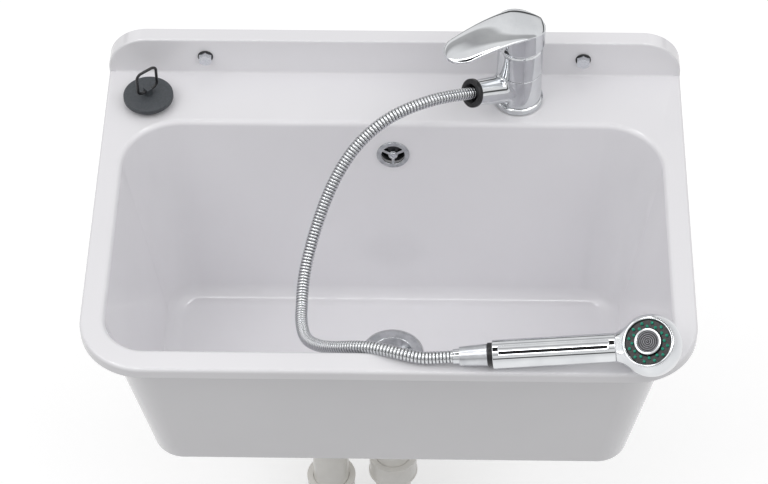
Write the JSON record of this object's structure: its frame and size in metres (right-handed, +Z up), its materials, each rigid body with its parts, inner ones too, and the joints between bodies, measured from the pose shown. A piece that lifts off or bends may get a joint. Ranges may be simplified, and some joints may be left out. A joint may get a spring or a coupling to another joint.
{
  "type": "wall-hung utility sink",
  "caption": "Wall-hung utility sink with splash-back, single-lever tap, pull-out hand spray, overflow, plug and U-bend drain kit.",
  "frame": {"origin": "midway between the two wall screws, on the wall's face", "axes": "+X to the right seen from the front, +Y into the wall, +Z up"},
  "size_m": [0.6, 0.466, 0.656],
  "materials": {
    "sink_white": "glossy white moulding",
    "zinc_steel": "zinc plated",
    "stainless": "polished stainless steel",
    "chrome": "mirror chrome",
    "satin_chrome": "satin chrome",
    "hose_steel": "wound steel strip",
    "brass": "raw brass",
    "pipe_white": "warm white",
    "overflow_dark": "dark grey",
    "overflow_grey": "light grey ribbed",
    "grey_rubber": "grey seal",
    "black_rubber": "black seal",
    "plug_rubber": "dark grey rubber",
    "bail_wire": "black coated wire",
    "black_plastic": "black",
    "nozzle_green": "teal silicone",
    "mesh_dark": "dark mesh",
    "cartridge_plastic": "cream",
    "turret_plastic": "grey",
    "disc_ceramic": "ground ceramic"
  },
  "bodies": {
    "sink": {"sink_shell": "sink_white", "wall_screws": "zinc_steel", "screw_washers": "black_rubber", "waste_flange": "stainless", "flange_seal": "grey_rubber", "waste_screw": "zinc_steel", "waste_gasket": "grey_rubber", "waste_body": "pipe_white", "waste_seal": "grey_rubber", "waste_nut": "pipe_white", "overflow_grille": "stainless", "overflow_screw": "zinc_steel", "overflow_gasket": "black_rubber", "overflow_head": "overflow_dark", "overflow_hose": "overflow_grey", "overflow_hose_seal": "grey_rubber", "overflow_hose_nut": "pipe_white", "tailpipe": "pipe_white", "branch_seal": "grey_rubber", "branch_cap": "pipe_white", "inlet_seal": "grey_rubber", "inlet_nut": "pipe_white", "trap_bend": "pipe_white", "outlet_seal": "grey_rubber", "outlet_nut": "pipe_white", "outlet_pipe": "pipe_white", "tap_base_gasket": "black_rubber", "tap_base_ring": "chrome", "tap_column": "brass", "spout_seals": "black_rubber", "cartridge_housing": "chrome", "cartridge": "cartridge_plastic", "fixed_disc": "disc_ceramic", "cartridge_nut": "brass", "shank_washer": "black_rubber", "shank_plate": "zinc_steel", "back_nut": "brass", "spray_hose_upper": "hose_steel", "spray_hose_lower": "hose_steel"},
    "spout": {"spout_body": "chrome", "spout_socket": "black_plastic"},
    "turret": {"moving_disc": "disc_ceramic", "cartridge_turret": "turret_plastic", "turret_pin": "zinc_steel"},
    "lever": {"lever_stem": "brass", "lever": "chrome", "lever_screw": "zinc_steel"},
    "hose_end": {"hose_ferrule": "chrome", "hose_cone_nut": "satin_chrome"},
    "hand_spray": {"swivel_ring": "black_plastic", "spray_handle": "chrome", "spray_head": "chrome", "face_bezel": "chrome", "nozzle_plate": "black_plastic", "spray_nozzles": "nozzle_green"},
    "diverter": {"aerator_collar": "chrome", "aerator_mesh": "mesh_dark"},
    "plug": {"plug": "plug_rubber"},
    "bail": {"plug_bail": "bail_wire"},
    "rosette": {"wall_rosette": "pipe_white"}
  },
  "joints": [
    {"name": "spout_swivel", "type": "hinge", "parent": "sink", "child": "spout", "pos_m": [0.13, -0.053, 0], "axis": [0, 0, 1], "range_deg": [-40, 60], "deforming": ["spray_hose_upper"]},
    {"name": "lever_swivel", "type": "hinge", "parent": "sink", "child": "turret", "pos_m": [0.13, -0.053, 0.048], "axis": [0, 0, 1], "range_deg": [-45, 45]},
    {"name": "lever_lift", "type": "hinge", "parent": "turret", "child": "lever", "pos_m": [0.13, -0.053, 0.048], "axis": [-0.5736, 0.8192, 0], "range_deg": [0, 20]},
    {"name": "spray_lift", "type": "slide", "parent": "sink", "child": "hose_end", "axis": [0, 0, 1], "range_m": [0, 0.08], "deforming": ["spray_hose_lower"]},
    {"name": "hose_swivel", "type": "hinge", "parent": "hose_end", "child": "hand_spray", "pos_m": [0.25, -0.411, 0.0073], "axis": [-0.9943, 0, -0.1067], "continuous": true},
    {"name": "spray_diverter", "type": "slide", "parent": "hand_spray", "child": "diverter", "axis": [0.2316, 0.4649, -0.8545], "range_m": [0, 0.003]},
    {"name": "plug_lift", "type": "slide", "parent": "sink", "child": "plug", "axis": [0, 0, 1], "range_m": [0, 0.06]},
    {"name": "bail_hinge", "type": "hinge", "parent": "plug", "child": "bail", "pos_m": [-0.255, -0.061, -0.0072], "axis": [0.766, 0.6428, 0], "range_deg": [-80, 80]},
    {"name": "rosette_slide", "type": "slide", "parent": "sink", "child": "rosette", "axis": [0, -1, 0], "range_m": [0, 0.06]}
  ]
}
